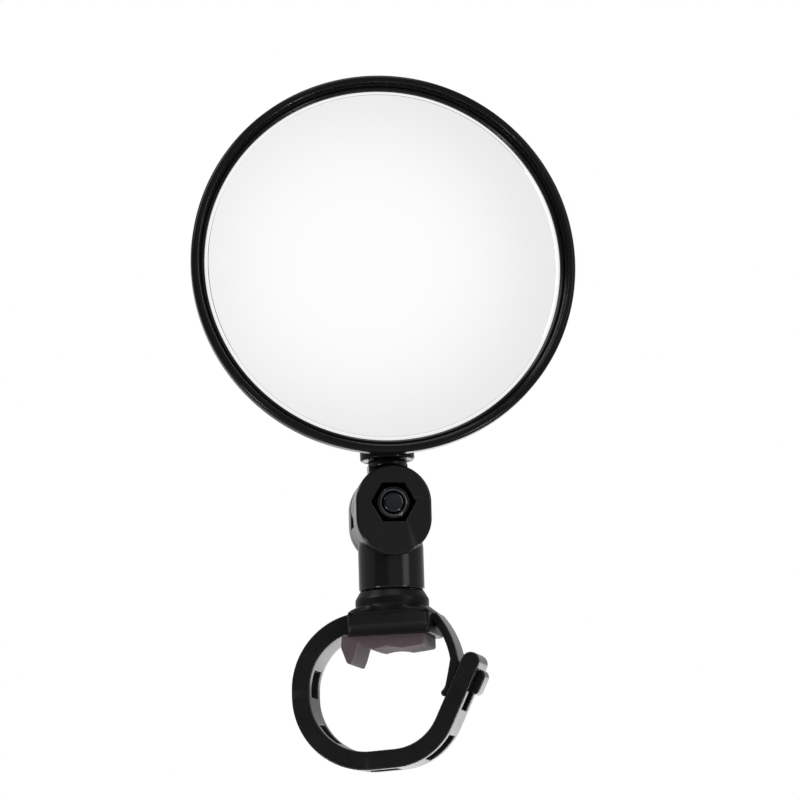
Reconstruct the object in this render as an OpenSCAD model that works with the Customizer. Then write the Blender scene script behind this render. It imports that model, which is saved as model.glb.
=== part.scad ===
// Handlebar mirror: a round convex mirror on a tilting knuckle, a swivel post and a strap clamp.
// Origin: centre of the handlebar. Y runs along the handlebar, Z up the swivel post, and the
// mirror looks towards -Y, turned by head_yaw about Z. Millimetres throughout.

/* [Mirror head] */
// Radius of the case at its widest
case_r = 43.1; // [40:0.1:46]
// Radius of the mirror that shows inside the rim
view_r = 40; // [36:0.1:42]
// Height of the mirror's centre above the handlebar's centre
mirror_z = 96.4; // [95:0.1:100]
// How far the rim's front stands before the stem's axis
case_front = 12.6; // [12:0.1:13.5]
// Radius of curvature of the convex mirror
lens_curve_r = 420; // [300:10:1200]
// Thickness of the mirror
lens_t = 1.8; // [1.5:0.1:2.2]
// Angle of the mirror and knuckle about Z, from the handlebar's own direction
head_yaw = 20; // [0:1:45]

/* [Knuckle and post] */
// Height of the pivot bolt's axis
pivot_z = 42.9; // [41:0.1:44]
// Radius of the rounded cheeks of the knuckle
cheek_r = 8.4; // [8:0.1:9]
// How far the cheeks run on below the pivot before their lower round
cheek_drop = 3.4; // [2:0.1:4]
// Depth of the knuckle along the pivot bolt
knuckle_d = 17.2; // [16:0.1:18]
// Lean of the mirror's stem in the knuckle, as it is set at rest
rest_lean = -1; // [-8:1:8]
// Radius of the swivel post
post_r = 7.3; // [7:0.1:7.6]
// Height of the post's lower end
post_z = 24; // [23:0.1:25]

/* [Clamp] */
// Radius of the round wall that holds the handlebar
bar_wall_r = 11.15; // [11.1:0.05:11.3]
// Width of the long strap along the handlebar
strap_w = 9.5; // [9:0.5:12]
// Thickness of the long strap
strap_t = 4.1; // [3.6:0.1:4.4]
// Length of each window in the strap
window_l = 6.6; // [5.5:0.1:7]
// Width of each window in the strap
window_w = 5.2; // [4.5:0.1:6.2]
// Distance from one window to the next, along the strap
window_pitch = 12.6; // [11:0.1:14]

/* [Hidden] */
$fn = 96;
eps = 0.01;
slip = 0.05;             // gap between faces that slide on each other

// Head, measured back from the rim's front plane
ring_back = 2.9;         // where the retaining ring meets the mirror's edge
lens_edge_r = view_r + 0.9;
lens_fit_r = lens_edge_r + 0.1;
foam_t = 1.0;
ring_t = 0.9;            // depth of the retaining ring's seat
lens_sag = lens_curve_r - sqrt(pow(lens_curve_r, 2) - pow(lens_edge_r, 2));
floor_depth = ring_back + lens_t + foam_t;
rim_round = 1.1;         // rounding of the rim's front edge
dome_depth = 13.4;       // depth of the case at its centre
side_depth = 3.2;        // where the rim's side starts to taper
skirt_r = 42;            // radius and depth where the taper turns into the dome
skirt_depth = 7.4;
dome_edge = [40.6, 8.4];
cavity_r = 36.8;
wall = 1.8;

// Stem and its boss
boss_r = 6.1;
boss_z = 53.4;
boss_top_z = 67.8;
neck_r = 4.35;
spigot_r = 3;
spigot_top_z = 63.8;
screw_hole_r = 1.25;

// Knuckle
tongue_r = 8.35;
tongue_t = 4.2;
washer_t = 0.6;
slot_w = tongue_t + 2 * washer_t + 4 * slip;
slot_r = tongue_r + 0.35;
rear_cheek_t = 5;
slot_y0 = knuckle_d / 2 - rear_cheek_t - slot_w; // front face of the slot
bolt_r = 2.5;
bolt_hole_r = 2.6;
nut_flats = 8;
nut_pocket_flats = 8.7;
nut_pocket_depth = 5;
nut_seat_y = -knuckle_d / 2 + nut_pocket_depth;
nut_t = 2.9;
collar_t = 1.2;
head_pocket_r = 4.9;
head_pocket_depth = 3.2;
head_seat_y = knuckle_d / 2 - head_pocket_depth;

// Swivel
swivel_hole_r = 2.1;
swivel_screw_r = 2;
pilot_r = 1.75;
collar_spigot_r = 4;
collar_spigot_z = 28.4;
seat_web_z = 18.6;       // underside of the collar's web, where the screw's washer bears

// Saddle and strap, in the plane across the handlebar
saddle_z = 13.7;
plate_z = 18.4;
collar_z = 20.4;
flange_r = 8.2;          // round flange under the post
saddle_left = -8.7;
saddle_right = 9.8;
saddle_d = 15.2;
tab_z = [15.25, 18.35];
tongue_w = 8;

end_l = 14.5;
hug_from = -87;          // the strap follows the handlebar between these angles
hug_to = -26;
bottom_l = 5.5;          // straight stretch under the handlebar
loop_r = 12.7;           // inner radius of the loop on the far side
loop_rise = 1.2;         // straight stretch in the middle of the loop
end_window = 7.4;        // middle of the straight end's window, from the start of the straight
root_angle = 106;        // where the loop meets its tab

function polar(r, a) = [r * cos(a), r * sin(a)];
// Points along an arc about c, about 4 degrees apart
function arc_points(c, r, a0, a1) =
    let (n = ceil(abs(a1 - a0) / 4)) [for (i = [0:n]) c + polar(r, a0 + (a1 - a0) * i / n)];
end_heading = hug_to + 90; // slope of the strap's straight end
end_p = polar(bar_wall_r, hug_to);
end_dir = polar(1, end_heading);
end_out = polar(1, hug_to);
bottom_p = polar(bar_wall_r, hug_from) + bottom_l * polar(1, hug_from - 90);
loop_c = bottom_p + polar(loop_r, hug_from + 180);
loop_c2 = loop_c + [0, loop_rise];

// Draws a plane shape in X and Z, and gives it width w along Y, centred
module across(w) { rotate([90, 0, 0]) linear_extrude(w, center = true) children(); }
// A cylinder along Y between two values of y, at the height z
module rod_y(r, y0, y1, z = 0) { translate([0, y1, z]) rotate([90, 0, 0]) cylinder(r = r, h = y1 - y0); }
// A hexagonal bar along Y, with a corner to each side
module hex_y(flats, y0, y1, z) {
    translate([0, y1, z]) rotate([90, 0, 0]) cylinder(r = flats / sqrt(3), h = y1 - y0, $fn = 6);
}
// Turns the mirror and knuckle about the post
module yawed() { rotate([0, 0, head_yaw]) children(); }
// Leans the stem and mirror about the pivot bolt
module leaned() {
    yawed() translate([0, 0, pivot_z]) rotate([0, rest_lean, 0]) translate([0, 0, -pivot_z]) children();
}
// Spins a profile of [radius, depth] about the mirror's own axis
module about_mirror() {
    leaned() translate([0, -case_front, mirror_z]) rotate([-90, 0, 0]) rotate_extrude() children();
}

// Mirror head ------------------------------------------------------------

dome_rise = dome_depth - dome_edge[1];
dome_r = (pow(dome_edge[0], 2) + pow(dome_rise, 2)) / (2 * dome_rise);
// Depth of the dome at the radius r, for a dome whose middle is at the depth mid
function dome_at(r, mid) = mid - dome_r + sqrt(pow(dome_r, 2) - r * r);

module case_outline() polygon(concat([[0, 0]],
    arc_points([case_r - rim_round, rim_round], rim_round, -90, 0),
    [[case_r, side_depth]],
    arc_points([skirt_r - 1.4, skirt_depth], 1.4, 0, 72),
    [for (r = [dome_edge[0]:-2.9:1]) [r, dome_at(r, dome_depth)]], [[0, dome_depth]]));

module case_cavity() polygon(concat(
    [[0, -1], [lens_edge_r + 0.5, -1], [lens_edge_r + 0.5, ring_back - ring_t],
        [lens_fit_r, ring_back - ring_t], [lens_fit_r, floor_depth], [cavity_r, floor_depth]],
    [for (r = [cavity_r:-4.1:1]) [r, dome_at(r, dome_depth - wall)]], [[0, dome_depth - wall]]));

module mirror_case() color("#0d0d0e") difference() {
    union() {
        about_mirror() case_outline();
        leaned() translate([0, 0, boss_z]) cylinder(r = boss_r, h = boss_top_z - boss_z - 4);
        leaned() translate([0, 0, boss_top_z - 4]) cylinder(r1 = boss_r, r2 = boss_r - 1.6, h = 4);
    }
    about_mirror() case_cavity();
    leaned() translate([0, 0, boss_z - eps])
        cylinder(r = spigot_r + slip, h = spigot_top_z + slip - boss_z);
    leaned() translate([0, 0, spigot_top_z]) cylinder(r = 1.5, h = boss_top_z - spigot_top_z);
    leaned() translate([0, 0, boss_top_z - 3]) cylinder(r = 2.9, h = 3 + eps);
}

module retaining_ring() color("#161618") about_mirror()
    polygon([[view_r, ring_back - 0.2], [view_r, ring_back - 0.45], [view_r + 0.4, ring_back - ring_t],
        [lens_fit_r - slip, ring_back - ring_t], [lens_fit_r - slip, ring_back - 0.2]]);

module mirror_lens() color("#e8ecef") about_mirror() intersection() {
    translate([0, -2]) square([lens_edge_r, ring_back + lens_t + 4]);
    difference() {
        translate([0, ring_back - lens_sag + lens_curve_r]) circle(lens_curve_r, $fn = 720);
        translate([0, ring_back - lens_sag + lens_curve_r + lens_t]) circle(lens_curve_r, $fn = 720);
    }
    translate([0, -2]) square([lens_edge_r, ring_back + lens_t + 2]);
}

module foam_ring() color("#3a3a3c") about_mirror()
    translate([37, ring_back + lens_t + 0.05]) square([3.6, foam_t - 0.05]);

module stem_washer() color("#b8babd") leaned() translate([0, 0, boss_top_z - 3])
    difference() { cylinder(r = 2.7, h = 0.7); translate([0, 0, -eps]) cylinder(r = screw_hole_r, h = 1); }

module stem_screw() color("#a9abae") leaned() {
    translate([0, 0, boss_top_z - 2.3]) difference() {
        cylinder(r1 = 2.5, r2 = 2.1, h = 1.8);
        for (a = [0, 90]) rotate([0, 0, a]) translate([-1.6, -0.35, 0.8]) cube([3.2, 0.7, 2]);
    }
    translate([0, 0, boss_top_z - 13]) cylinder(r = screw_hole_r, h = 10.7 + eps);
}

// Knuckle ----------------------------------------------------------------

module knuckle_tongue() color("#111112") leaned() difference() {
    union() {
        translate([0, slot_y0 + slot_w / 2, 0]) {
            rod_y(tongue_r, -tongue_t / 2, tongue_t / 2, pivot_z);
            translate([-neck_r, -tongue_t / 2, pivot_z]) cube([2 * neck_r, tongue_t, 9.4]);
        }
        translate([0, 0, pivot_z + 8.9]) cylinder(r = neck_r, h = boss_z - slip - pivot_z - 8.9);
        translate([0, 0, boss_z - 1]) cylinder(r = spigot_r, h = spigot_top_z - boss_z + 1);
    }
    translate([0, slot_y0 + slot_w / 2, 0]) rod_y(bolt_hole_r, -tongue_t, tongue_t, pivot_z);
    translate([0, 0, boss_top_z - 13]) cylinder(r = screw_hole_r, h = 20);
}

module friction_washers() color("#5a5550") yawed()
    for (y = [slot_y0 + slip, slot_y0 + slot_w - slip - washer_t]) difference() {
        rod_y(tongue_r - slip, y, y + washer_t, pivot_z);
        rod_y(bolt_r + slip, y - 1, y + washer_t + 1, pivot_z);
    }

module cheeks() {
    rod_y(cheek_r, -knuckle_d / 2, knuckle_d / 2, pivot_z);
    rod_y(cheek_r, -knuckle_d / 2, knuckle_d / 2, pivot_z - cheek_drop);
    translate([-cheek_r, -knuckle_d / 2, pivot_z - cheek_drop]) cube([2 * cheek_r, knuckle_d, cheek_drop]);
}

module swivel_post() color("#121213") yawed() difference() {
    union() {
        cheeks();
        translate([0, 0, post_z]) cylinder(r1 = post_r - 0.3, r2 = post_r, h = 0.5);
        translate([0, 0, post_z + 0.5]) cylinder(r = post_r, h = pivot_z - cheek_drop - post_z - 1);
    }
    // slot for the tongue, open above and at both sides
    rod_y(slot_r, slot_y0, slot_y0 + slot_w, pivot_z);
    translate([-20, slot_y0, pivot_z - 4.6]) cube([40, slot_w, 30]);
    rod_y(bolt_hole_r, -20, 20, pivot_z);
    hex_y(nut_pocket_flats, -20, nut_seat_y, pivot_z);
    rod_y(head_pocket_r, head_seat_y, 20, pivot_z);
    translate([0, 0, post_z - eps])
        cylinder(r = collar_spigot_r + slip, h = collar_spigot_z + 0.1 - post_z);
    translate([0, 0, post_z]) cylinder(r = pilot_r, h = 32.6 - post_z);
}

module pivot_bolt() color("#2a2a2c") yawed() difference() {
    union() {
        rod_y(bolt_r, nut_seat_y - nut_t - collar_t, head_seat_y + 0.8, pivot_z);
        translate([0, nut_seat_y - nut_t - collar_t, pivot_z])
            rotate([90, 0, 0]) cylinder(r1 = bolt_r, r2 = 1.9, h = 0.6);
        rod_y(4.25, head_seat_y + 0.8, head_seat_y + 3, pivot_z);
    }
    hex_y(3, head_seat_y + 1.4, head_seat_y + 4, pivot_z);
}

module pivot_washer() color("#8d8f92") yawed() difference() {
    rod_y(4.6, head_seat_y, head_seat_y + 0.8, pivot_z);
    rod_y(bolt_r, head_seat_y - 1, head_seat_y + 2, pivot_z);
}

module pivot_nut() color("#202022") yawed() difference() {
    union() {
        hex_y(nut_flats, nut_seat_y - nut_t, nut_seat_y, pivot_z);
        rod_y(3.7, nut_seat_y - nut_t - collar_t, nut_seat_y - nut_t, pivot_z);
    }
    rod_y(bolt_r, -20, 20, pivot_z);
    rod_y(3.3, -20, nut_seat_y - nut_t, pivot_z);
}

module nut_collar() color("#2c3034") yawed() difference() {
    rod_y(3.3, nut_seat_y - nut_t - collar_t + 0.1, nut_seat_y - nut_t, pivot_z);
    rod_y(bolt_r, -20, 20, pivot_z);
}

// Swivel -----------------------------------------------------------------

module swivel_screw() color("#a9abae") yawed() {
    translate([0, 0, 15.5]) difference() {
        cylinder(r1 = 2.9, r2 = 3.4, h = 2.3);
        for (a = [0, 90]) rotate([0, 0, a]) translate([-1.9, -0.4, -1]) cube([3.8, 0.8, 2.2]);
    }
    translate([0, 0, 17.8 - eps]) cylinder(r = pilot_r, h = 32.4 - 17.8);
}

module swivel_washer() color("#b8babd") yawed() translate([0, 0, 17.8]) difference() {
    cylinder(r = 3.6, h = seat_web_z - slip - 17.8);
    translate([0, 0, -1]) cylinder(r = pilot_r, h = 3);
}

module swivel_collar() color("#0f0f10") difference() {
    union() {
        translate([0, 0, collar_z]) cylinder(r = flange_r, h = 2);
        translate([0, 0, collar_z + 2])
            cylinder(r1 = flange_r, r2 = post_r - 0.1, h = post_z - slip - collar_z - 2);
        translate([0, 0, collar_z]) cylinder(r = collar_spigot_r, h = collar_spigot_z - collar_z);
        across(saddle_d) polygon([[saddle_left, plate_z], [saddle_right + 0.6, plate_z],
            [saddle_right, 19.3], [7.4, collar_z + eps], [-7.4, collar_z + eps], [saddle_left, 19]]);
        translate([0, 0, 15.3]) cylinder(r = 4.8, h = collar_z - 15.3);
    }
    translate([0, 0, 10]) cylinder(r = swivel_hole_r, h = 20);
    translate([0, 0, 10]) cylinder(r = 3.8, h = seat_web_z - 10);
}

// Clamp ------------------------------------------------------------------

module saddle_base() color("#0f0f10") difference() {
    across(saddle_d) polygon([[saddle_left, saddle_z], [saddle_right, saddle_z],
        [saddle_right, plate_z], [saddle_left, plate_z]]);
    // pockets for the strap's and the tongue's tabs
    translate([-12, -strap_w / 2 - slip, tab_z[0] - slip]) cube([12 - 5.1, strap_w + 2 * slip, 5]);
    translate([5.1, -tongue_w / 2 - slip, tab_z[0] + 1.3 - slip]) cube([10, tongue_w + 2 * slip, 5]);
    translate([-6.1, -strap_w / 2 - slip, tab_z[0] - 0.7]) cube([1, strap_w + 2 * slip, 2]);
    translate([5.1, -tongue_w / 2 - slip, tab_z[0] + 0.6]) cube([1, tongue_w + 2 * slip, 2]);
    translate([0, 0, 15.3]) cylinder(r = 4.8, h = 5);
    translate([0, 0, 10]) cylinder(r = 3.8, h = 10);
    // seat for the rubber pad
    translate([-8.2, 1 - saddle_d / 2, saddle_z - 1]) cube([16.4, saddle_d - 2, 1.8]);
}

module saddle_pad() color("#4a4143") difference() {
    across(saddle_d - 2) polygon([[-8.2, saddle_z + 0.8], [8.2, saddle_z + 0.8], [8.2, 11.3], [3.3, 10.65],
        [-3.3, 10.65], [-5.5, 11.5], [-6.5, 12.4], [-7.5, 9.6], [-8.4, 7.6], [-9.2, 8.1],
        [-10.4, 11.4], [-10.2, saddle_z], [-8.2, saddle_z]]);
    rod_y(bar_wall_r, -20, 20);
}

module window_cut(p, heading) {
    across(window_w) translate(p) rotate(heading) translate([-window_l / 2, -10]) square([window_l, 20]);
}

// A window at the angle a on the handlebar's curve, or on the loop
module hug_window(a) { window_cut(polar(bar_wall_r + strap_t / 2, a), a + 90); }
module loop_window(a) { window_cut(loop_c2 + polar(loop_r + strap_t / 2, a), a + 90); }

// The strap's two edges, from its tab round the loop and the handlebar to the straight end
inner_edge = concat(
    arc_points(loop_c2, loop_r, root_angle, 180), arc_points(loop_c, loop_r, 180, 360 + hug_from),
    arc_points([0, 0], bar_wall_r - 0.2, hug_from + 2, hug_to - 2),
    [end_p + 1.5 * end_dir, end_p + end_l * end_dir]);
outer_edge = concat(
    arc_points(end_p + end_l * end_dir + strap_t / 2 * end_out, strap_t / 2, end_heading + 75, hug_to),
    arc_points([0, 0], bar_wall_r + strap_t, hug_to, hug_from),
    arc_points(loop_c, loop_r + strap_t, 360 + hug_from, 180),
    arc_points(loop_c2, loop_r + strap_t, 180, root_angle));
// The tab that locks into the saddle
strap_tab = [[saddle_left, tab_z[1]], [-5.2, tab_z[1]], [-5.2, tab_z[0] - 0.6], [-6, tab_z[0] - 0.6],
    [-6, tab_z[0]], [saddle_left - slip, tab_z[0]], [saddle_left - slip, 14.6]];

module long_strap() color("#141415") difference() {
    across(strap_w) polygon(concat(inner_edge, outer_edge, strap_tab));
    rod_y(bar_wall_r, -20, 20);
    window_cut(end_p + end_window * end_dir, end_heading);
    hug_window(hug_to - (window_pitch - end_window) / (bar_wall_r + strap_t / 2) * 180 / PI);
    window_cut(bottom_p + polar(1.8, hug_from + 90) + polar(strap_t / 2, hug_from), hug_from + 90);
    for (a = [225, 172]) loop_window(a);
}

tongue_c = [-4.5, 5.5];  // centre of the tongue's curve
tongue_r_in = 18.2;
tongue_r_out = 20;
hook_y = [8.2, 2.3, 5.6]; // start of the neck along the strap, its length, and the head's length
head_t = 1.9;
knob_c = [12.05, 0.65];   // centre of the tongue's rounded end
tongue_outline = concat(
    arc_points(tongue_c, tongue_r_out, 40, 8),
    [end_p + 13 * end_dir - 0.2 * end_out, end_p + 5.8 * end_dir - 0.2 * end_out],
    arc_points(knob_c, 0.8, -80, -240), [[12.3, 2.4], [12.9, 5]],
    arc_points(tongue_c, tongue_r_in, 8, 38),
    [[saddle_right + slip, tab_z[0] + 1.3], [6, tab_z[0] + 1.3], [6, tab_z[0] + 0.7], [5.2, tab_z[0] + 0.7],
        [5.2, tab_z[1]]]);

module hook_tongue() color("#141415") {
    across(tongue_w) polygon(tongue_outline);
    // neck through the window, and the head outside
    across(window_w - 0.6) translate(end_p) rotate(end_heading)
        translate([hook_y[0], -strap_t - 0.6]) square([hook_y[1], strap_t + 1.4]);
    across(window_w - 0.4) translate(end_p) rotate(end_heading)
        translate([hook_y[0] - 0.1, -strap_t - slip - head_t]) square([hook_y[2], head_t]);
}

mirror_case();
retaining_ring();
mirror_lens();
foam_ring();
stem_screw();
stem_washer();
knuckle_tongue();
friction_washers();
swivel_post();
pivot_bolt();
pivot_washer();
pivot_nut();
nut_collar();
swivel_screw();
swivel_washer();
swivel_collar();
saddle_base();
saddle_pad();
long_strap();
hook_tongue();
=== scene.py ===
"""Looks of the handlebar mirror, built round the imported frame. Sizes in millimetres unless said."""
import math

import bmesh
import bpy
from mathutils import Matrix, Vector


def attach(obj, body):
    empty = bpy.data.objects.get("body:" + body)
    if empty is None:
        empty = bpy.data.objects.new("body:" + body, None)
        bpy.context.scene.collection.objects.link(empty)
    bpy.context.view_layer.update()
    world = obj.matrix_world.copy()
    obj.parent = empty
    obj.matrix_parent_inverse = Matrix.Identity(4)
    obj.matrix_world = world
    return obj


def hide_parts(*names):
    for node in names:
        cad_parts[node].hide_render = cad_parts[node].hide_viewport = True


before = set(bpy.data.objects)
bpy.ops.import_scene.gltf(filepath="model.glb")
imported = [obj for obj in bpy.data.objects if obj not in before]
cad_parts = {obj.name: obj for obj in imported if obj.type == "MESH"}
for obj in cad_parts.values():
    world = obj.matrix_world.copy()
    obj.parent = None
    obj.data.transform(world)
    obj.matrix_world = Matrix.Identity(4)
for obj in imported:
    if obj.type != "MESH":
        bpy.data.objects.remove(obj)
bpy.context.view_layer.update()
MM = 0.001

# ---------------------------------------------------------------- sizes, as in the part's source
HEAD_YAW = math.radians(20)
REST_LEAN = math.radians(-1)
PIVOT_Z = 42.9
MIRROR_Z = 96.4

# the head, measured back from the rim's front plane
CASE_R, CASE_FRONT = 43.1, 12.6
VIEW_R = 40.0
LENS_R, LENS_T = 420.0, 1.8
LENS_EDGE = VIEW_R + 0.9
LENS_FIT_R = LENS_EDGE + 0.1
RING_BACK, RING_T = 2.9, 0.9
RING_FRONT = RING_BACK - RING_T
OPENING_R = 41.4
CAVITY_R = 36.8
FOAM_T = 1.0
CAVITY_FLOOR = RING_BACK + LENS_T + FOAM_T
RIM_ROUND, LIP_ROUND, SKIRT_ROUND = 0.95, 0.32, 1.4
SKIRT_DEPTH = 7.4
DOME_DEPTH = 13.4
DOME_EDGE_R, DOME_EDGE_DEPTH = 40.6, 8.4
DOME_RISE = DOME_DEPTH - DOME_EDGE_DEPTH
DOME_R = (DOME_EDGE_R ** 2 + DOME_RISE ** 2) / (2 * DOME_RISE)
DOME_WALL = 1.8

# the stem and its boss
BOSS_R, BOSS_Z, BOSS_TOP = 6.1, 53.4, 67.8
RECESS_FLOOR = BOSS_TOP - 3.04
NECK_R = 4.35
SPIGOT_R, SPIGOT_TOP = 3.0, 63.8
SCREW_HOLE_R = 1.25

# the knuckle
CHEEK_R, CHEEK_DROP = 8.4, 3.4
KNUCKLE_D = 17.2
TONGUE_R, TONGUE_T = 8.35, 4.2
SLOT_W = 5.6
REAR_CHEEK_T = 5
SLOT_Y0 = KNUCKLE_D / 2 - REAR_CHEEK_T - SLOT_W
SLOT_Y1 = SLOT_Y0 + SLOT_W
SLOT_MID = SLOT_Y0 + SLOT_W / 2
SLOT_R = TONGUE_R + 0.35
BOLT_R, BOLT_HOLE_R = 2.5, 2.6
NUT_FLATS, NUT_POCKET_FLATS, NUT_T = 8.0, 8.7, 2.9
NUT_SEAT = -KNUCKLE_D / 2 + 5
NUT_TOP = NUT_SEAT - NUT_T
HEAD_POCKET_R = 4.9
HEAD_SEAT = KNUCKLE_D / 2 - 3.2
POST_R, POST_Z = 7.3, 24.0
SWIVEL_HOLE_R, SWIVEL_HOLE_TOP = 4.05, 28.5
PILOT_R = 1.75

# the saddle, the strap and the tongue, in the plane across the handlebar
SADDLE_D, SADDLE_LEFT, SADDLE_RIGHT = 15.2, -8.7, 9.8
SADDLE_Z, PLATE_Z = 13.7, 18.4
FLANGE_R = 8.2
SEAT_SPIGOT_R, SEAT_SPIGOT_TOP = 4.0, 28.4
STRAP_W, STRAP_T = 9.5, 4.1
WINDOW_L, WINDOW_W, WINDOW_PITCH = 6.6, 5.2, 12.6
TONGUE_W = 8.0
BAR_R = 11.15
HUG_FROM, HUG_TO = -87, -26
END_L, END_WINDOW = 14.5, 7.4
BOTTOM_L, LOOP_R, LOOP_RISE, ROOT_A = 5.5, 12.7, 1.2, 106


def polar(r, a):
    return Vector((r * math.cos(math.radians(a)), r * math.sin(math.radians(a))))


END_P = polar(BAR_R, HUG_TO)
END_DIR = polar(1, HUG_TO + 90)
END_OUT = polar(1, HUG_TO)
BOTTOM_P = polar(BAR_R, HUG_FROM) + BOTTOM_L * polar(1, HUG_FROM - 90)
LOOP_C = BOTTOM_P + polar(LOOP_R, HUG_FROM + 180)
LOOP_C2 = LOOP_C + Vector((0, LOOP_RISE))

YAW = Matrix.Rotation(HEAD_YAW, 4, "Z")
AT_PIVOT = Matrix.Translation((0, 0, PIVOT_Z))
LEAN = YAW @ AT_PIVOT @ Matrix.Rotation(REST_LEAN, 4, "Y") @ AT_PIVOT.inverted()
MIRROR = LEAN @ Matrix.Translation((0, -CASE_FRONT, MIRROR_Z)) @ Matrix.Rotation(math.radians(-90), 4, "X")
CLAMP = Matrix.Identity(4)

ON_AXIS = 0.001       # radius of a lathe's point on its axis
HEAD_SIDES = 192      # facets round the head
ROUND_SIDES = 96      # facets round the knuckle and the post
STEM_SIDES = 72

# ---------------------------------------------------------------- mesh helpers


def piece(name, verts, faces, body, slot, mat, cad, at=CLAMP, bevel=0.0, weld=True):
    """Adds a visible piece that rides a body and takes the place of the named CAD nodes."""
    mesh = bpy.data.meshes.new(name)
    mesh.from_pydata([tuple(c * MM for c in at @ Vector(v)) for v in verts], [], faces)
    obj = bpy.data.objects.new(name, mesh)
    bpy.context.scene.collection.objects.link(obj)
    mesh.validate()
    bm = bmesh.new()
    bm.from_mesh(mesh)
    if weld:
        bmesh.ops.remove_doubles(bm, verts=bm.verts, dist=1e-6)
    bmesh.ops.recalc_face_normals(bm, faces=bm.faces)
    for f in bm.faces:
        f.smooth = True
    bm.to_mesh(mesh)
    bm.free()
    if bevel:
        edges = obj.modifiers.new("edges", "BEVEL")
        edges.width = bevel * MM
        edges.segments = 3
        edges.limit_method = "ANGLE"
        edges.angle_limit = math.radians(50)
    normals = obj.modifiers.new("normals", "WEIGHTED_NORMAL")
    normals.keep_sharp = True
    normals.weight = 80
    mesh.materials.append(mat)
    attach(obj, body)
    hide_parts(*cad)


def loft(loops, ring=False):
    """Joins closed loops of equal count with quads. A ring joins the last to the first, others are capped."""
    n = len(loops[0])
    verts = [p for loop in loops for p in loop]
    faces = []
    rows = len(loops) if ring else len(loops) - 1
    for i in range(rows):
        a, b = i * n, ((i + 1) % len(loops)) * n
        for k in range(n):
            k2 = (k + 1) % n
            faces.append((a + k, a + k2, b + k2, b + k))
    if not ring:
        faces.append(tuple(range(n))[::-1])
        faces.append(tuple(rows * n + k for k in range(n)))
    return verts, faces


def circle(r, n=ROUND_SIDES):
    return [(r * math.cos(2 * math.pi * k / n), r * math.sin(2 * math.pi * k / n)) for k in range(n)]


def lathe(profile, n):
    """Spins a closed profile of [radius, height] points about Z."""
    return loft([[(x, y, h) for x, y in circle(r, n)] for r, h in profile], ring=True)


def arc(cx, cy, r, a0, a1, n=8):
    """Points along an arc about a centre, n steps from the angle a0 to a1."""
    angles = [math.radians(a0 + (a1 - a0) * i / n) for i in range(n + 1)]
    return [(cx + r * math.cos(a), cy + r * math.sin(a)) for a in angles]


def inset(outline, d):
    """Moves each point of a closed outline inwards by d. The outline runs anticlockwise."""
    n = len(outline)
    out = []
    for i in range(n):
        p, q, r = Vector(outline[i - 1]), Vector(outline[i]), Vector(outline[(i + 1) % n])
        e0, e1 = (q - p), (r - q)
        if e0.length < 1e-6 or e1.length < 1e-6:
            e0 = e1 = r - p
        e0, e1 = e0.normalized(), e1.normalized()
        m = Vector((-e0.y, e0.x)) + Vector((-e1.y, e1.x))
        m = m / max(m.length_squared / 2, 0.5)
        out.append(tuple(q + m * d))
    return out


def area(outline):
    return sum(a[0] * b[1] - b[0] * a[1] for a, b in zip(outline, outline[1:] + outline[:1])) / 2


def slab(outline, y0, y1, r=0.3, steps=3):
    """A plate across Y from an XZ outline, with its two rims rounded by r."""
    outline = [tuple(p) for p in outline]
    if area(outline) < 0:
        outline = outline[::-1]
    rows = []
    for i in range(steps + 1):
        t = math.radians(90 * i / steps)
        rows.append((r * (1 - math.sin(t)), y0 + r * (1 - math.cos(t))))
    rows += [(d, y0 + y1 - y) for d, y in rows[::-1]]
    return loft([[(x, y, z) for x, z in inset(outline, d)] for d, y in rows])


def resample(points, gap):
    """Splits long stretches of a closed outline so that its points are at most gap apart."""
    out = []
    for a, b in zip(points, points[1:] + points[:1]):
        a, b = Vector(a), Vector(b)
        n = max(1, math.ceil((b - a).length / gap))
        out += [tuple(a.lerp(b, i / n)) for i in range(n)]
    return out


# ---------------------------------------------------------------- material helpers


def principled(name):
    """A new material with its node tree and its Principled BSDF."""
    material = bpy.data.materials.new(name)
    material.use_nodes = True
    tree = material.node_tree
    return material, tree, tree.nodes["Principled BSDF"]


def node(tree, kind, **values):
    """Adds a shader node with the values of its inputs. An underscore in a name stands for a space."""
    new = tree.nodes.new("ShaderNode" + kind)
    for name, value in values.items():
        new.inputs[name.replace("_", " ")].default_value = value
    return new


def noise(tree, place, scale, detail=2):
    texture = node(tree, "TexNoise", Scale=scale, Detail=detail)
    tree.links.new(place, texture.inputs["Vector"])
    return texture.outputs["Fac"]


def stretched(tree, place, scale, rotation=(0, 0, 0)):
    mapping = node(tree, "Mapping", Scale=scale, Rotation=rotation)
    tree.links.new(place, mapping.inputs["Vector"])
    return mapping.outputs["Vector"]


def remap(tree, value, low, high, start=0, end=1):
    """Maps the span from start to end onto the span from low to high."""
    ramp = node(tree, "MapRange", From_Min=start, From_Max=end, To_Min=low, To_Max=high)
    tree.links.new(value, ramp.inputs["Value"])
    return ramp.outputs["Result"]


def mixed(tree, factor, first, second):
    """Mixes two colours. The first is a colour or another node's output."""
    mix = tree.nodes.new("ShaderNodeMix")
    mix.data_type = "RGBA"
    tree.links.new(factor, mix.inputs["Factor"])
    if isinstance(first, bpy.types.NodeSocket):
        tree.links.new(first, mix.inputs["A"])
    else:
        mix.inputs["A"].default_value = (*first, 1)
    mix.inputs["B"].default_value = (*second, 1)
    return mix.outputs["Result"]


def roughen(tree, bsdf, height, strength, distance):
    """Gives the surface a bump. The distance is in metres."""
    bump = node(tree, "Bump", Strength=strength, Distance=distance)
    tree.links.new(height, bump.inputs["Height"])
    tree.links.new(bump.outputs["Normal"], bsdf.inputs["Normal"])


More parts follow.
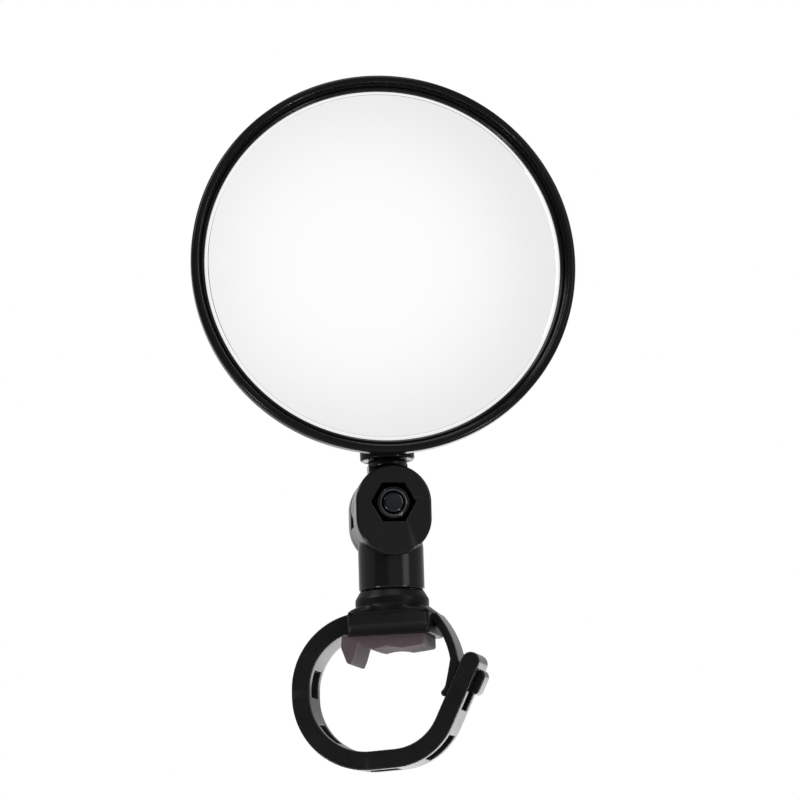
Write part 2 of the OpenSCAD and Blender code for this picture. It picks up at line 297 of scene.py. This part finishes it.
def plastic(name, dark, light, rough, spread, grain, bump, spec, scratch=0.0):
    """Moulded plastic: soft mottling, a fine moulded grain, faint scuffs and a painted highlight along convex
    edges.
    """
    material, tree, bsdf = principled(name)
    place = node(tree, "TexCoord").outputs["Object"]
    mottle = noise(tree, place, 120, 5)
    color = mixed(tree, mottle, dark, light)
    # painted highlight: where the surface turns outwards it is painted a little paler, as if lit along its
    # convex edges
    turned = node(tree, "NewGeometry").outputs["Pointiness"]
    painted_edge_highlight = remap(tree, turned, 0, 0.35, 0.54, 0.66)
    color = mixed(tree, painted_edge_highlight, color, [v * 2.2 + 0.01 for v in light])
    tree.links.new(color, bsdf.inputs["Base Color"])
    roughness = remap(tree, mottle, rough - spread, rough + spread)
    if scratch:
        lines = noise(tree, stretched(tree, place, (30, 30, 1.5), (0.4, 0.2, 0.9)), 60, 8)
        total = node(tree, "Math")
        tree.links.new(roughness, total.inputs[0])
        tree.links.new(remap(tree, lines, 0, scratch, 0.68, 0.74), total.inputs[1])
        roughness = total.outputs[0]
    tree.links.new(roughness, bsdf.inputs["Roughness"])
    roughen(tree, bsdf, noise(tree, place, grain, 3), bump, 0.00012)
    bsdf.inputs["Specular IOR Level"].default_value = spec
    return material


def metal(name, color, rough):
    """Plated steel: brushed colour, drawn-out grain and small stains."""
    material, tree, bsdf = principled(name)
    place = node(tree, "TexCoord").outputs["Object"]
    brushed = noise(tree, stretched(tree, place, (1, 1, 0.08)), 900)
    stains = noise(tree, place, 350, 4)
    tree.links.new(mixed(tree, stains, [v * 0.75 for v in color], color), bsdf.inputs["Base Color"])
    tree.links.new(remap(tree, brushed, rough * 0.7, rough * 1.3), bsdf.inputs["Roughness"])
    roughen(tree, bsdf, brushed, 0.25, 0.00005)
    bsdf.inputs["Metallic"].default_value = 1
    return material


def mirror_glass():
    """Silvered glass: a clean bright reflection with the faintest haze and unevenness."""
    material, tree, bsdf = principled("mirror_glass")
    haze = noise(tree, node(tree, "TexCoord").outputs["Object"], 25, 3)
    tree.links.new(remap(tree, haze, 0.02, 0.07), bsdf.inputs["Roughness"])
    tree.links.new(mixed(tree, haze, [0.94] * 3, [0.96] * 3), bsdf.inputs["Base Color"])
    bsdf.inputs["Metallic"].default_value = 1
    return material


SCUFFS = 0.08         # roughness that the faint scratches add
CASE = plastic("case_plastic", (0.002, 0.002, 0.0022), (0.004, 0.0038, 0.004),
               rough=0.2, spread=0.04, grain=2600, bump=0.04, spec=0.05, scratch=SCUFFS)
FRAME = plastic("frame_plastic", (0.0025, 0.0022, 0.0024), (0.0048, 0.0043, 0.0046),
                rough=0.17, spread=0.04, grain=2400, bump=0.05, spec=0.1, scratch=SCUFFS)
STRAP = plastic("strap_plastic", (0.0025, 0.0022, 0.0024), (0.005, 0.0045, 0.0047),
                rough=0.27, spread=0.05, grain=1800, bump=0.12, spec=0.14, scratch=SCUFFS)
SEAT_PLASTIC = plastic("seat_plastic", (0.0015, 0.0013, 0.0014), (0.0032, 0.0028, 0.003),
                       rough=0.34, spread=0.05, grain=2200, bump=0.1, spec=0.05)
PAD = plastic("pad_rubber", (0.024, 0.016, 0.0185), (0.042, 0.03, 0.0335),
              rough=0.62, spread=0.08, grain=1500, bump=0.4, spec=0.16)
FOAM = plastic("foam", (0.02, 0.02, 0.02), (0.05, 0.05, 0.05),
               rough=0.9, spread=0.05, grain=1200, bump=0.9, spec=0.2)
NYLON = plastic("nylon", (0.004, 0.005, 0.006), (0.009, 0.011, 0.012),
                rough=0.17, spread=0.05, grain=1800, bump=0.2, spec=0.4)
FRICTION = plastic("friction_disc", (0.006, 0.006, 0.006), (0.014, 0.013, 0.013),
                   rough=0.45, spread=0.06, grain=2200, bump=0.3, spec=0.3)
STEEL = metal("zinc_steel", (0.62, 0.62, 0.63), 0.32)
BLACK_STEEL = metal("black_steel", (0.02, 0.021, 0.023), 0.2)
GLASS = mirror_glass()

# ---------------------------------------------------------------- mirror head


def dome(r, back):
    """Depth of the domed back at radius r, for a dome whose middle is at the depth back."""
    return back - DOME_R + math.sqrt(DOME_R ** 2 - r * r)


def case_profile():
    """The case from its opening over the rim, the skirt and the dome to the floor behind the mirror."""
    points = [(OPENING_R, RING_FRONT), (OPENING_R, 0.85), (OPENING_R + 0.07, 0.55)]
    points += arc(OPENING_R + 0.4, LIP_ROUND, LIP_ROUND, 190, 270, 6)
    points += arc(CASE_R - RIM_ROUND, RIM_ROUND, RIM_ROUND, 270, 360)
    points += [(CASE_R, 2.1), (CASE_R, 3.0), (CASE_R - 0.06, 3.5), (CASE_R - 0.55, 5.4)]
    points += arc(DOME_EDGE_R, SKIRT_DEPTH, SKIRT_ROUND, 0, 72, 7)
    outside = (40.3, 39.6, 38, 36, 33, 30, 26, 22, 18, 14, 10, 6, 3, ON_AXIS)
    points += [(r, dome(r, DOME_DEPTH)) for r in outside]
    inside = (ON_AXIS, 3, 10, 18, 26, 32, 36.2)
    points += [(r, dome(r, DOME_DEPTH - DOME_WALL)) for r in inside]
    points += [(CAVITY_R, CAVITY_FLOOR + 0.05), (CAVITY_R + 0.6, CAVITY_FLOOR)]
    return points + [(LENS_FIT_R, CAVITY_FLOOR), (LENS_FIT_R, RING_FRONT)]


def ring_profile():
    """The retaining ring: a bevel from the mirror's edge forwards to its flat front."""
    bevel = [(0, RING_BACK - 0.2), (0.02, RING_BACK - 0.42), (0.15, RING_BACK - 0.62),
             (0.42, RING_FRONT + 0.03), (0.55, RING_FRONT)]
    outer = LENS_FIT_R - 0.05
    return [(VIEW_R + d, depth) for d, depth in bevel] + [(outer, RING_FRONT), (outer, RING_BACK - 0.2)]


def sag(r):
    """Depth of the mirror's convex face at radius r."""
    return RING_BACK - (math.sqrt(LENS_R ** 2 - r * r) - math.sqrt(LENS_R ** 2 - LENS_EDGE ** 2))


def lens_profile():
    """The mirror: its convex face with a shallow groove near the edge, and the same curve behind."""
    groove_r, groove_depth = 39.32, 0.05
    radii = [ON_AXIS] + [39 * k / 16 for k in range(1, 17)]
    face = [(r, sag(r)) for r in radii + [39.1, 39.2]] + [(groove_r, sag(groove_r) + groove_depth)]
    face += [(r, sag(r)) for r in (39.44, 39.56, 40.2, 40.75, LENS_EDGE)]
    return face + [(r, sag(r) + LENS_T) for r in [LENS_EDGE] + radii[::-1]]


def boss_profile():
    """The boss, with the stem's hole from below and the screw's recess from above."""
    hole_r = SPIGOT_R + 0.05
    points = [(hole_r, BOSS_Z + 0.02), (BOSS_R - 0.5, BOSS_Z + 0.02)]
    points += arc(BOSS_R - 0.5, BOSS_Z + 0.5, 0.5, -90, 0, 4)
    points += [(BOSS_R, 58), (BOSS_R, BOSS_TOP - 4), (BOSS_R - 0.5, BOSS_TOP - 2.4)]
    points += arc(BOSS_R - 2.0, BOSS_TOP - 0.5, 0.5, 0, 90, 4)
    points += arc(3.2, BOSS_TOP - 0.3, 0.3, 90, 180, 3)
    points += [(2.9, RECESS_FLOOR), (1.55, RECESS_FLOOR)]
    return points + [(1.55, SPIGOT_TOP + 0.05), (hole_r, SPIGOT_TOP + 0.05)]


def kept_behind_glass(point):
    """Moves a point of the boss that is in front of the dome's wall back into that wall."""
    x, y, z = point
    if z <= MIRROR_Z - 40:
        return point
    r = min(abs(z - MIRROR_Z), 41)
    return x, max(y, -CASE_FRONT + dome(r, DOME_DEPTH - 1.2)), z


HEAD = ("mirror_head", "case_plastic", CASE)
piece("case_shell", *lathe(case_profile(), HEAD_SIDES), *HEAD, ("mirror_case",), MIRROR)
piece("rim_ring", *lathe(ring_profile(), HEAD_SIDES), *HEAD, ("retaining_ring",), MIRROR)
piece("mirror_disc", *lathe(lens_profile(), HEAD_SIDES),
      "mirror_head", "mirror", GLASS, ("mirror_lens",), MIRROR)
boss_verts, boss_faces = lathe(boss_profile(), STEM_SIDES)
boss_verts = [kept_behind_glass(p) for p in boss_verts]
piece("case_boss", boss_verts, boss_faces, *HEAD, ("mirror_case",), LEAN, weld=False)

# ---------------------------------------------------------------- knuckle


def stadium(r, n=ROUND_SIDES):
    """The cheek's outline about the bolt: a round at the pivot and one below it. Heights are upwards."""
    half = n // 2
    top = [(r * math.cos(math.pi * k / half), r * math.sin(math.pi * k / half)) for k in range(half)]
    return top + [(-x, -CHEEK_DROP - z) for x, z in top]


def hexagon(flats, n=ROUND_SIDES):
    """A hexagon with a corner to each side, sampled at the same count as the outline."""
    out = []
    for k in range(n):
        a = 2 * math.pi * k / n
        reach = flats / 2 / math.cos(a % (math.pi / 3) - math.pi / 6)
        out.append((reach * math.cos(a), reach * math.sin(a)))
    return out


def about_bolt(rows, ring=True):
    """Lofts [outline, distance along the bolt] rows about the bolt's axis."""
    return loft([[(x, y, PIVOT_Z + z) for x, z in loop] for loop, y in rows], ring)


def rounds(pairs, start):
    """Rows of circles from [radius, distance] pairs, with the distances measured from start."""
    return [(circle(r), start + y) for r, y in pairs]


def cheek(y_in, y_out, pocket, seat, rim=0.55):
    """A cheek: a rounded stadium plate with a pocket in its outer face and the bolt's hole."""
    s = 1 if y_out > y_in else -1
    hole = circle(BOLT_HOLE_R)
    outline = stadium(CHEEK_R)
    rows = [(hole, y_in), (inset(outline, 0.25), y_in), (outline, y_in + s * 0.25)]
    for i in range(5):
        t = math.radians(90 * i / 4)
        rows.append((inset(outline, rim * (1 - math.cos(t))), y_out - s * rim * (1 - math.sin(t))))
    rows += [(pocket(0.22), y_out), (pocket(0.07), y_out - s * 0.07), (pocket(0), y_out - s * 0.25)]
    rows += [(pocket(0), seat + s * 0.1), (pocket(-0.1), seat), (hole, seat)]
    return about_bolt(rows)


def nut_pocket(gap):
    return hexagon(NUT_POCKET_FLATS + 2 * gap)


def head_pocket(gap):
    return circle(HEAD_POCKET_R + gap)


def web_outline():
    """The web between the cheeks, under the tongue's slot."""
    edge_z = -4.6
    edge_a = math.degrees(math.asin(-edge_z / SLOT_R))
    points = [(x, PIVOT_Z + z) for x, z in arc(0, 0, SLOT_R, -edge_a, edge_a - 180, 24)]
    points.append((-CHEEK_R, PIVOT_Z + edge_z))
    points += [(x, PIVOT_Z - CHEEK_DROP + z) for x, z in arc(0, 0, CHEEK_R, 189, 351, 32)]
    return points + [(CHEEK_R, PIVOT_Z + edge_z)]


def post_profile():
    points = [(SWIVEL_HOLE_R, POST_Z), (POST_R - 0.6, POST_Z)]
    points += arc(POST_R - 0.6, POST_Z + 0.6, 0.6, -90, 0, 6)
    points += [(POST_R, 28), (POST_R, 31), (POST_R, 33.6), (POST_R - 0.25, 35.6), (POST_R - 1.2, 36.6)]
    return points + [(PILOT_R, 36.6), (PILOT_R, SWIVEL_HOLE_TOP), (SWIVEL_HOLE_R, SWIVEL_HOLE_TOP)]


LOWER = ("lower_arm", "frame_plastic", FRAME, ("swivel_post",), YAW)
piece("cheek_front", *cheek(SLOT_Y0, -KNUCKLE_D / 2, nut_pocket, NUT_SEAT), *LOWER)
piece("cheek_rear", *cheek(SLOT_Y1, KNUCKLE_D / 2, head_pocket, HEAD_SEAT), *LOWER)
piece("knuckle_web", *slab(web_outline(), SLOT_Y0 - 0.2, SLOT_Y1 + 0.2, 0.05, 1), *LOWER)
piece("swivel_tube", *lathe(post_profile(), ROUND_SIDES), *LOWER)


def nut_rows():
    """The nut, with the round crown that holds its nylon ring."""
    bottom = [(circle(BOLT_R), NUT_SEAT), (hexagon(NUT_FLATS - 0.4), NUT_SEAT)]
    sides = [(hexagon(NUT_FLATS), NUT_SEAT - 0.25), (hexagon(NUT_FLATS), NUT_TOP + 0.35)]
    crown = [(4.0, 0.05), (3.85, 0), (3.72, -0.1), (3.7, -0.75), (3.58, -1.05), (3.42, -1.18),
             (3.3, -1.1), (3.27, -0.9), (3.27, 0), (BOLT_R, 0)]
    return bottom + sides + rounds(crown, NUT_TOP)


def bolt_rows():
    """The bolt from its chamfered end through the thread to its round head with a hexagon socket."""
    rows = rounds([(0.01, -1.62), (1.7, -1.65), (1.95, -1.6)], NUT_TOP)
    crest, depth, pitch = 2.45, 0.22, 0.5
    start = NUT_TOP - 1.35
    for k in range(math.ceil((NUT_SEAT + 3 - start) / pitch)):
        rows += rounds([(crest, 0), (crest - depth, 0.2), (crest, 0.4)], start + k * pitch)
    head = [(crest, 0.8), (3.9, 0.8), (4.2, 0.95), (4.25, 1.4), (4.05, 2.2), (3.5, 2.75), (2.9, 2.98),
            (2.1, 3.0)]
    socket = [(hexagon(3.1), HEAD_SEAT + 2.8), (hexagon(3.0), HEAD_SEAT + 1.4)]
    return rows + rounds(head, HEAD_SEAT) + socket + rounds([(0.01, 1.3)], HEAD_SEAT)


def eye_rows():
    """The tongue's eye, with a small round on each rim."""
    half = TONGUE_T / 2
    rim = [(TONGUE_R - 0.3, half), (TONGUE_R - 0.08, half - 0.08), (TONGUE_R, half - 0.3)]
    outside = [(r, -y) for r, y in rim] + rim[::-1]
    return rounds([(BOLT_HOLE_R, -half)] + outside + [(BOLT_HOLE_R, half)], SLOT_MID)


def stem_profile():
    foot = PIVOT_Z + 8.9
    points = [(SCREW_HOLE_R, foot), (NECK_R - 0.6, foot)]
    points += arc(NECK_R - 0.5, foot + 0.5, 0.5, -90, 0, 4)
    points += [(NECK_R, BOSS_Z - 0.3), (NECK_R - 0.15, BOSS_Z - 0.07), (SPIGOT_R, BOSS_Z - 0.07)]
    return points + [(SPIGOT_R, SPIGOT_TOP - 0.2), (SPIGOT_R - 0.2, SPIGOT_TOP), (SCREW_HOLE_R, SPIGOT_TOP)]


nylon = rounds([(2.52, -0.02), (3.26, -0.02), (3.26, -0.8), (3.1, -1.0), (2.7, -1.02), (2.52, -0.9)], NUT_TOP)
BLACKENED = ("lower_arm", "black_steel", BLACK_STEEL)
piece("lock_nut", *about_bolt(nut_rows()), *BLACKENED, ("pivot_nut",), YAW)
piece("nut_ring", *about_bolt(nylon), "lower_arm", "nylon", NYLON, ("nut_collar",), YAW)
piece("pivot_screw", *about_bolt(bolt_rows(), ring=False), *BLACKENED, ("pivot_bolt",), YAW)

UPPER = ("upper_arm", "frame_plastic", FRAME, ("knuckle_tongue",), LEAN)
ROOT_Z0, ROOT_Z1 = PIVOT_Z + 6, PIVOT_Z + 9.6
root = [(-NECK_R, ROOT_Z0), (NECK_R, ROOT_Z0), (NECK_R, ROOT_Z1), (-NECK_R, ROOT_Z1)]
root_half = TONGUE_T / 2 - 0.02
piece("stem_eye", *about_bolt(eye_rows()), *UPPER)
piece("stem_root", *slab(resample(root, 1.0), SLOT_MID - root_half, SLOT_MID + root_half, 0.2), *UPPER)
piece("stem", *lathe(stem_profile(), STEM_SIDES), *UPPER)

# ---------------------------------------------------------------- saddle, collar and pad
HALF_D = SADDLE_D / 2


def round_rect(x0, x1, half_d, r, n=6):
    """A rounded rectangle in X and Y."""
    out = []
    corners = ((x1 - r, half_d - r), (x0 + r, half_d - r), (x0 + r, r - half_d), (x1 - r, r - half_d))
    for i, (cx, cy) in enumerate(corners):
        out += arc(cx, cy, r, 90 * i, 90 * i + 90, n)
    return out


def saddle_loop(gap, r, z):
    """The saddle's outline at a height, gap inside its sides."""
    outline = round_rect(SADDLE_LEFT + gap, SADDLE_RIGHT - gap, HALF_D - gap, r)
    return [(x, y, z) for x, y in outline]


FOOT = resample(round_rect(SADDLE_LEFT, SADDLE_RIGHT - 0.2, HALF_D, 1.6), 0.5)


def collar_loop(t, r, z):
    """The plate's outline at a height, moved by the part t of the way to a circle of radius r."""
    out = []
    for x, y in FOOT:
        a = math.atan2(y, x)
        p = Vector((x, y)).lerp(Vector((r * math.cos(a), r * math.sin(a))), t)
        out.append((p.x, p.y, z))
    return out


saddle = [saddle_loop(0.3, 0.9, SADDLE_Z), saddle_loop(0.07, 1.0, SADDLE_Z + 0.08),
          saddle_loop(0, 1.0, SADDLE_Z + 0.3), saddle_loop(0, 1.0, PLATE_Z - 0.04)]
neck_r = FLANGE_R - 0.2
flare = [collar_loop(t, neck_r, z) for t, z in
         ((0, PLATE_Z), (0, 19.0), (0.25, 19.55), (0.6, 20.05), (0.92, 20.4))]
flange = [collar_loop(1, r, z) for r, z in
          ((FLANGE_R - 0.1, 20.5), (FLANGE_R, 20.7), (FLANGE_R, 21.9), (FLANGE_R - 0.08, 22.2),
           (FLANGE_R - 0.25, 22.5), (7.3, 23.6), (7.15, 23.87), (SEAT_SPIGOT_R, 23.93),
           (SEAT_SPIGOT_R, SEAT_SPIGOT_TOP - 0.2), (SEAT_SPIGOT_R - 0.2, SEAT_SPIGOT_TOP))]
SEAT = ("clamp", "frame_plastic", SEAT_PLASTIC)
piece("saddle_block", *loft(saddle), *SEAT, ("saddle_base",))
piece("post_seat", *loft(flare + flange), *SEAT, ("swivel_collar",))

# the pad's ragged lip on the left, its hollow for the bar, and its right end
pad = [(-8.2, 14.4), (-10.2, 13.9), (-10.4, 11.4), (-9.2, 8.1), (-8.75, 7.75), (-8.3, 7.8), (-7.85, 8.7),
       (-7.5, 9.6), (-7.1, 10.9), (-6.7, 12.1), (-6.4, 12.35), (-6.0, 12.0), (-5.5, 11.5), (-4.4, 11.08)]
pad += [tuple(polar(BAR_R + 0.02, a)) for a in range(106, 73, -2)]
pad += [(5.7, 11.0), (7.9, 11.28), (8.2, 11.6), (8.2, 14.4)]
piece("bar_pad", *slab(resample(pad, 1.0), 1 - HALF_D, HALF_D - 1),
      "clamp", "pad_rubber", PAD, ("saddle_pad",))

# ---------------------------------------------------------------- strap and tongue
HALF_T = STRAP_T / 2
ORIGIN = Vector((0, 0))


def strap_path():
    """Pairs of inner and outer points along the strap, with the length at each."""
    pairs = []

    def turn(centre, inner_r, a0, a1):
        n = max(2, math.ceil(abs(a1 - a0) / 3))
        for i in range(n + 1):
            a = a0 + (a1 - a0) * i / n
            pairs.append((centre + polar(inner_r, a), centre + polar(inner_r + STRAP_T, a)))

    turn(LOOP_C2, LOOP_R, ROOT_A - 8, 180)
    turn(LOOP_C, LOOP_R, 180, 360 + HUG_FROM)
    turn(ORIGIN, BAR_R, HUG_FROM, HUG_TO)
    for i in range(1, 11):
        p = END_P + END_DIR * (END_L * i / 10)
        pairs.append((p, p + STRAP_T * END_OUT))
    path = [pairs[0]]
    for pair in pairs[1:]:
        if (sum(pair, ORIGIN) - sum(path[-1], ORIGIN)).length > 0.05:
            path.append(pair)
    lengths = [0]
    for a, b in zip(path, path[1:]):
        lengths.append(lengths[-1] + (sum(b, ORIGIN) / 2 - sum(a, ORIGIN) / 2).length)
    return path, lengths


PATH, LENGTHS = strap_path()
TOTAL = LENGTHS[-1]


def at_length(t):
    """The inner and the outer point at a length along the strap."""
    for i in range(len(LENGTHS) - 1):
        if LENGTHS[i + 1] >= t:
            break
    k = (t - LENGTHS[i]) / (LENGTHS[i + 1] - LENGTHS[i])
    return PATH[i][0].lerp(PATH[i + 1][0], k), PATH[i][1].lerp(PATH[i + 1][1], k)


def length_near(point, steps=2000):
    """The length along the strap whose middle is nearest to a point."""
    lengths = [TOTAL * i / steps for i in range(steps)]
    return min(lengths, key=lambda t: (sum(at_length(t), ORIGIN) / 2 - point).length)


def window_centres():
    """The lengths at which the strap's windows have their middles."""
    second_a = HUG_TO - math.degrees((WINDOW_PITCH - END_WINDOW) / (BAR_R + HALF_T))
    middles = [END_P + END_WINDOW * END_DIR + HALF_T * END_OUT,
               polar(BAR_R + HALF_T, second_a),
               BOTTOM_P + 1.8 * polar(1, HUG_FROM + 90) + HALF_T * polar(1, HUG_FROM)]
    middles += [LOOP_C2 + polar(LOOP_R + HALF_T, a) for a in (225, 172)]
    return [length_near(p) for p in middles]


def strap_mesh(rows=90, end_steps=8):
    """The strap as a grid along its length and width, with its windows left out and a round free end."""
    centres = window_centres()
    cuts = [c + side * WINDOW_L / 2 for c in centres for side in (-1, 1)]
    even = [TOTAL * k / rows for k in range(rows + 1)]
    along = sorted(set([0, TOTAL] + cuts + [s for s in even if all(abs(s - c) > 0.35 for c in cuts)]))
    across = [-STRAP_W / 2, -WINDOW_W / 2, WINDOW_W / 2, STRAP_W / 2]
    ni, nj = len(along) - 1, len(across) - 1
    verts, faces, index = [], [], {}

    def solid(i, j):
        """True where the cell is on the strap and outside its windows."""
        if not (0 <= i < ni and 0 <= j < nj):
            return False
        s, y = (along[i] + along[i + 1]) / 2, (across[j] + across[j + 1]) / 2
        return abs(y) > WINDOW_W / 2 or all(abs(s - c) > WINDOW_L / 2 for c in centres)

    def numbered(key, point, y):
        if key not in index:
            index[key] = len(verts)
            verts.append((point.x, y, point.y))
        return index[key]

    def vert(i, j, side):
        return numbered((i, j, side), at_length(along[i])[side], across[j])

    def quad(*corners):
        faces.append(tuple(vert(*corner) for corner in corners))

    def end_vert(k, j):
        """A corner of the free end's round, k steps from its inner side."""
        inner, outer = PATH[-1]
        a = math.pi * k / end_steps
        reach = (outer - inner).length / 2
        p = (inner + outer) / 2 - END_OUT * reach * math.cos(a) + END_DIR * reach * math.sin(a)
        return numbered(("end", k, j), p, across[j])

    def end_round(j):
        last = (vert(ni, j, 0), vert(ni, j + 1, 0))
        for k in range(1, end_steps):
            now = (end_vert(k, j), end_vert(k, j + 1))
            faces.append((*last, *now[::-1]))
            last = now
        faces.append((*last, vert(ni, j + 1, 1), vert(ni, j, 1)))

    for i in range(ni):
        for j in range(nj):
            if not solid(i, j):
                continue
            i1, j1 = i + 1, j + 1
            quad((i, j, 0), (i, j1, 0), (i1, j1, 0), (i1, j, 0))
            quad((i, j, 1), (i1, j, 1), (i1, j1, 1), (i, j1, 1))
            if not solid(i - 1, j):
                quad((i, j, 0), (i, j, 1), (i, j1, 1), (i, j1, 0))
            if i1 == ni:
                end_round(j)
            elif not solid(i1, j):
                quad((i1, j, 0), (i1, j1, 0), (i1, j1, 1), (i1, j, 1))
            if not solid(i, j - 1):
                quad((i, j, 0), (i1, j, 0), (i1, j, 1), (i, j, 1))
            if not solid(i, j1):
                quad((i, j1, 0), (i, j1, 1), (i1, j1, 1), (i1, j1, 0))
    for j in (0, nj):
        faces.append((vert(ni, j, 0), *[end_vert(k, j) for k in range(1, end_steps)], vert(ni, j, 1)))
    return verts, faces


def along_end(points):
    """Points from [distance along the straight end, distance outwards from its inner face] pairs."""
    return [tuple(END_P + s * END_DIR + o * END_OUT) for s, o in points]


def tongue_outline():
    """The tongue from its root on the saddle down to the knob that lies inside the strap's end."""
    centre = Vector((-4.5, 5.5))
    points = [tuple(centre + polar(20, a)) for a in range(40, 7, -4)]
    points += along_end([(13, -0.2), (5.8, -0.2)])
    points += arc(12.05, 0.65, 0.8, -80, -240, 9) + [(11.95, 1.7), (12.3, 2.4), (12.9, 5.0)]
    points += [tuple(centre + polar(18.2, a)) for a in range(8, 39, 5)]
    return points + [(8.95, 16.55), (7.4, 16.55), (7.4, 18.35)]


def hook_outline():
    """The hook's head, outside the strap, with the finger nub at its end."""
    low, high = STRAP_T + 0.05, STRAP_T + 1.93
    return along_end([(8.1, low), (13.2, low), (13.6, low + 0.3), (13.7, low + 0.8), (13.4, low + 1.35),
                      (12.7, high - 0.1), (12.0, high), (9.2, high), (8.6, high - 0.15), (8.15, low + 1.3)])


BAND = ("clamp", "strap_plastic", STRAP)
HOOK = (*BAND, ("hook_tongue",))
neck = along_end([(8.2, -0.7), (10.5, -0.7), (10.5, STRAP_T + 0.5), (8.2, STRAP_T + 0.5)])
neck_half, head_half = WINDOW_W / 2 - 0.3, WINDOW_W / 2 - 0.2
piece("strap_band", *strap_mesh(), *BAND, ("long_strap",), bevel=0.45)
piece("hook_band", *slab(resample(tongue_outline(), 0.8), -TONGUE_W / 2, TONGUE_W / 2), *HOOK)
piece("hook_neck", *slab(resample(neck, 0.8), -neck_half, neck_half, 0.2), *HOOK)
piece("hook_head", *slab(resample(hook_outline(), 0.7), -head_half, head_half, 0.35), *HOOK)

# ---------------------------------------------------------------- CAD pieces that keep their own shape
KEEP = {"foam_ring": FOAM, "stem_screw": STEEL, "stem_washer": STEEL, "friction_washers": FRICTION,
        "pivot_washer": STEEL, "swivel_screw": STEEL, "swivel_washer": STEEL}
for name, mat in KEEP.items():
    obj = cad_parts[name]
    obj.data.materials.clear()
    obj.data.materials.append(mat)

# ---------------------------------------------------------------- stage and room, in metres
FLOOR_HALF, FLOOR_Z = 8, -0.32
corners = [(FLOOR_HALF * x, FLOOR_HALF * y, FLOOR_Z) for x, y in ((-1, -1), (1, -1), (1, 1), (-1, 1))]
mesh = bpy.data.meshes.new("floor")
mesh.from_pydata(corners, [], [(0, 1, 2, 3)])
floor = bpy.data.objects.new("floor", mesh)
bpy.context.scene.collection.objects.link(floor)
paper, _, paper_bsdf = principled("floor_paper")
paper_bsdf.inputs["Base Color"].default_value = (0.74, 0.74, 0.74, 1)
paper_bsdf.inputs["Roughness"].default_value = 0.8
mesh.materials.append(paper)


def toward(az, el):
    """The direction at an angle round the part, from its front, and an angle above the floor."""
    a, e = math.radians(az), math.radians(el)
    return Vector((math.sin(a) * math.cos(e), -math.cos(a) * math.cos(e), math.sin(e)))


def lobe(tree, direction, start, end):
    """Rises from 0 to 1 towards a direction, between two values of the cosine."""
    dot = node(tree, "VectorMath")
    dot.operation = "DOT_PRODUCT"
    dot.inputs[1].default_value = direction.normalized()
    tree.links.new(node(tree, "TexCoord").outputs["Generated"], dot.inputs[0])
    ramp = node(tree, "MapRange", From_Min=start, From_Max=end)
    ramp.interpolation_type = "SMOOTHSTEP"
    tree.links.new(dot.outputs["Value"], ramp.inputs["Value"])
    return ramp.outputs["Result"]


def studio():
    """A bright plain room, which the camera itself sees as white."""
    world = bpy.data.worlds.new("studio")
    bpy.context.scene.world = world
    world.use_nodes = True
    tree = world.node_tree
    # a little dimmer behind the part, the glow at the mirror's middle, a dark flag for the front faces
    level = mixed(tree, lobe(tree, Vector((0, 1, 0.1)), 0, 0.75), [0.87] * 3, [0.78] * 3)
    level = mixed(tree, lobe(tree, toward(25, 13), 0.965, 1), level, [1.03] * 3)
    level = mixed(tree, lobe(tree, toward(-22, 4), 0.86, 0.95), level, [0.03] * 3)
    seen = node(tree, "LightPath").outputs["Is Camera Ray"]
    tree.links.new(mixed(tree, seen, level, [1] * 3), tree.nodes["Background"].inputs["Color"])


def softbox(name, az, el, dist, size, power, spread=180):
    """A rectangular lamp that faces the middle of the part."""
    light = bpy.data.lights.new(name, "AREA")
    light.energy = power
    light.shape = "RECTANGLE"
    light.spread = math.radians(spread)
    light.size, light.size_y = size
    obj = bpy.data.objects.new(name, light)
    bpy.context.scene.collection.objects.link(obj)
    aim = Vector((0, 0, 0.07))
    obj.location = aim + toward(az, el) * dist
    obj.rotation_euler = (aim - obj.location).to_track_quat("-Z", "Y").to_euler()
    obj.visible_camera = False


studio()
softbox("key", -58, 38, 0.9, (0.35, 0.5), 8)
softbox("fill", 66, 20, 1.0, (0.4, 0.7), 5)
softbox("top", 20, 78, 0.9, (0.5, 0.5), 6)
softbox("low_back", 176, -11, 1.0, (1.0, 0.32), 0.38, spread=70)
# two small lamps from below, for the bright spots along the lower edges
softbox("low_left", -40, -35, 0.45, (0.06, 0.06), 1.2)
softbox("low_right", 65, -35, 0.45, (0.06, 0.06), 1.2)

# ---------------------------------------------------------------- camera, in metres
CAM_AZ, CAM_EL, CAM_ROLL = 13.0, -10.42, math.radians(-1.68)
CAM_DIST, CAM_ASIDE, CAM_HEIGHT = 0.6802, 0.00304, 0.06721
SENSOR, FOCAL = 36, 3.78125         # the sensor's width, and the focal length in such widths

back = toward(CAM_AZ, CAM_EL)
level = toward(CAM_AZ + 90, 0)
rise = back.cross(level)
place = CAM_ASIDE * level + Vector((0, 0, CAM_HEIGHT)) + CAM_DIST * back
right = level * math.cos(CAM_ROLL) + rise * math.sin(CAM_ROLL)
up = rise * math.cos(CAM_ROLL) - level * math.sin(CAM_ROLL)
lens = bpy.data.cameras.new("camera")
lens.sensor_width = SENSOR
lens.lens = SENSOR * FOCAL
lens.clip_start = 0.01
camera = bpy.data.objects.new("camera", lens)
bpy.context.scene.collection.objects.link(camera)
camera.matrix_world = Matrix(((*right, 0), (*up, 0), (*back, 0), (*place, 1))).transposed()
bpy.context.scene.camera = camera
bpy.context.scene.view_settings.view_transform = "Standard"
